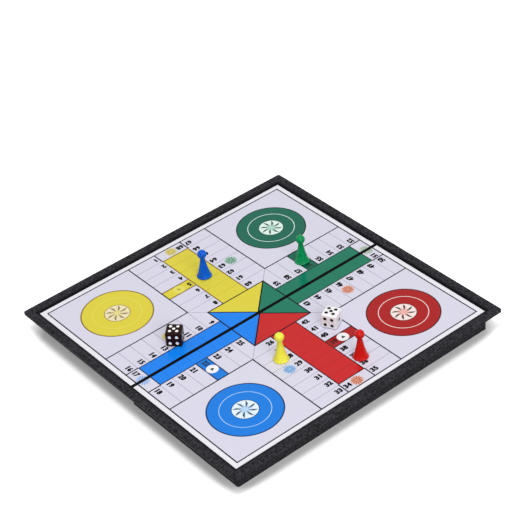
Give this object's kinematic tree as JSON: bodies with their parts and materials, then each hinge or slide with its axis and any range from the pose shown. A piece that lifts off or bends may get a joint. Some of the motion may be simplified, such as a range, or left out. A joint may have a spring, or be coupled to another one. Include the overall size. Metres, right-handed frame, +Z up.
{
  "type": "folding ludo board box",
  "caption": "Square folding ludo board whose two hollow trays hinge along the fold line and close into a storage box, with magnetic pawns and dice on the play surface.",
  "frame": {"origin": "on the table, under the middle of the fold line, with the board lying open", "axes": "+X along the fold line, +Y across it towards the back half, +Z up from the play surface"},
  "size_m": [0.25, 0.25, 0.0401],
  "materials": {
    "black_plastic": "moulded black plastic with a fine grain",
    "steel": "thin bright steel sheet and pins",
    "plated_magnet": "nickel plated disc magnet",
    "printed_sheet": "printed card under a semi-gloss film",
    "blue_plastic": "glossy moulded plastic",
    "green_plastic": "glossy moulded plastic",
    "yellow_plastic": "glossy moulded plastic",
    "red_plastic": "glossy moulded plastic",
    "dark_plastic": "polished dark plastic with white pips",
    "white_plastic": "polished white plastic with dark pips"
  },
  "bodies": {
    "front": {"front_tray": "black_plastic", "front_steel_plate": "steel", "front_print_sheet": "printed_sheet", "hinge_pin_left": "steel", "hinge_pin_right": "steel", "front_closure_magnet_left": "plated_magnet", "front_closure_magnet_right": "plated_magnet"},
    "back": {"back_tray": "black_plastic", "back_steel_plate": "steel", "back_print_sheet": "printed_sheet", "back_closure_magnet_left": "plated_magnet", "back_closure_magnet_right": "plated_magnet"},
    "blue_pawn": {"pawn_blue": "blue_plastic", "pawn_magnet_blue": "plated_magnet"},
    "green_pawn": {"pawn_green": "green_plastic", "pawn_magnet_green": "plated_magnet"},
    "yellow_pawn": {"pawn_yellow": "yellow_plastic", "pawn_magnet_yellow": "plated_magnet"},
    "red_pawn": {"pawn_red": "red_plastic", "pawn_magnet_red": "plated_magnet"},
    "dark_die": {"die_dark": "dark_plastic"},
    "white_die": {"die_white": "white_plastic"}
  },
  "joints": [
    {"name": "fold_hinge", "type": "hinge", "parent": "front", "child": "back", "pos_m": [0, 0, 0.00175], "axis": [-1, 0, 0], "range_deg": [0, 180]},
    {"name": "blue_pawn_lift", "type": "slide", "parent": "back", "child": "blue_pawn", "axis": [0, 0, 1], "range_m": [0, 0.03]},
    {"name": "green_pawn_lift", "type": "slide", "parent": "back", "child": "green_pawn", "axis": [0, 0, 1], "range_m": [0, 0.03]},
    {"name": "yellow_pawn_lift", "type": "slide", "parent": "front", "child": "yellow_pawn", "axis": [0, 0, 1], "range_m": [0, 0.03]},
    {"name": "red_pawn_lift", "type": "slide", "parent": "front", "child": "red_pawn", "axis": [0, 0, 1], "range_m": [0, 0.03]},
    {"name": "dark_die_lift", "type": "slide", "parent": "back", "child": "dark_die", "axis": [0, 0, 1], "range_m": [0, 0.03]},
    {"name": "white_die_lift", "type": "slide", "parent": "front", "child": "white_die", "axis": [0, 0, 1], "range_m": [0, 0.03]}
  ]
}
